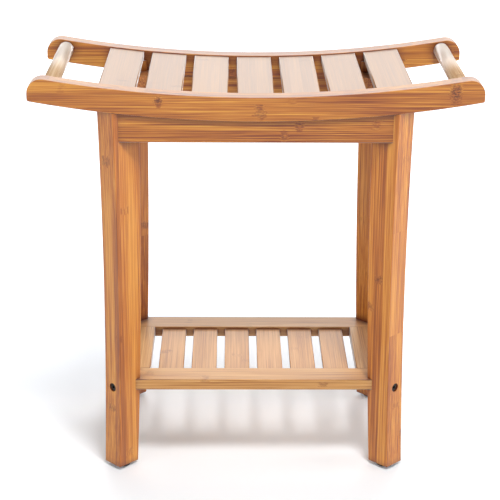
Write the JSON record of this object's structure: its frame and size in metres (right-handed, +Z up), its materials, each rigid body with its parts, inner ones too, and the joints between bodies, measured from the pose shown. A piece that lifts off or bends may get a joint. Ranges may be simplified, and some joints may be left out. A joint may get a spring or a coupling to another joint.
{
  "type": "shower stool",
  "caption": "Bamboo shower stool with a saddle-curved slatted seat, a bar handle at each end, bowed corner legs and a slatted storage shelf.",
  "frame": {"origin": "on the floor, under the middle of the stool", "axes": "+X along the length of the seat, +Y from the front to the back, +Z up"},
  "size_m": [0.5, 0.2348, 0.4718],
  "materials": {
    "frame_bamboo": "carbonised bamboo, sanded, clear oiled",
    "leg_bamboo": "laminated carbonised bamboo, sanded, clear oiled",
    "shelf_bamboo": "laminated carbonised bamboo, sanded, clear oiled",
    "slat_bamboo": "flat-pressed carbonised bamboo, sanded, clear oiled",
    "bar_bamboo": "turned carbonised bamboo, sanded, clear oiled",
    "block_bamboo": "laminated bamboo, sawn, lightly oiled",
    "pin_wood": "turned hardwood dowel pin, bare",
    "pad_rubber": "black moulded rubber, matt",
    "black_steel": "blackened steel, lightly oiled",
    "zinc_steel": "bright zinc-plated steel",
    "insert_brass": "turned brass, bare"
  },
  "bodies": {
    "root": {"front_seat_rail": "frame_bamboo", "back_seat_rail": "frame_bamboo", "seat_slat_1": "slat_bamboo", "seat_slat_2": "slat_bamboo", "seat_slat_3": "slat_bamboo", "seat_slat_4": "slat_bamboo", "seat_slat_5": "slat_bamboo", "seat_slat_6": "slat_bamboo", "seat_slat_7": "slat_bamboo", "left_handle_bar": "bar_bamboo", "right_handle_bar": "bar_bamboo", "front_apron": "frame_bamboo", "back_apron": "frame_bamboo", "left_apron": "frame_bamboo", "right_apron": "frame_bamboo", "front_left_corner_block": "block_bamboo", "front_right_corner_block": "block_bamboo", "back_left_corner_block": "block_bamboo", "back_right_corner_block": "block_bamboo", "front_left_leg": "leg_bamboo", "front_right_leg": "leg_bamboo", "back_left_leg": "leg_bamboo", "back_right_leg": "leg_bamboo", "shelf_front_board": "shelf_bamboo", "shelf_back_board": "shelf_bamboo", "shelf_left_board": "shelf_bamboo", "shelf_right_board": "shelf_bamboo", "shelf_slat_1": "slat_bamboo", "shelf_slat_2": "slat_bamboo", "shelf_slat_3": "slat_bamboo", "shelf_slat_4": "slat_bamboo", "shelf_slat_5": "slat_bamboo", "shelf_slat_6": "slat_bamboo", "front_left_foot_pad": "pad_rubber", "front_right_foot_pad": "pad_rubber", "back_left_foot_pad": "pad_rubber", "back_right_foot_pad": "pad_rubber", "foot_nails": "zinc_steel", "shelf_bolts": "black_steel", "shelf_inserts": "insert_brass", "leg_bolts": "black_steel", "leg_washers": "zinc_steel", "leg_inserts": "insert_brass", "dowel_pins": "pin_wood", "block_screws": "zinc_steel"}
  },
  "joints": []
}
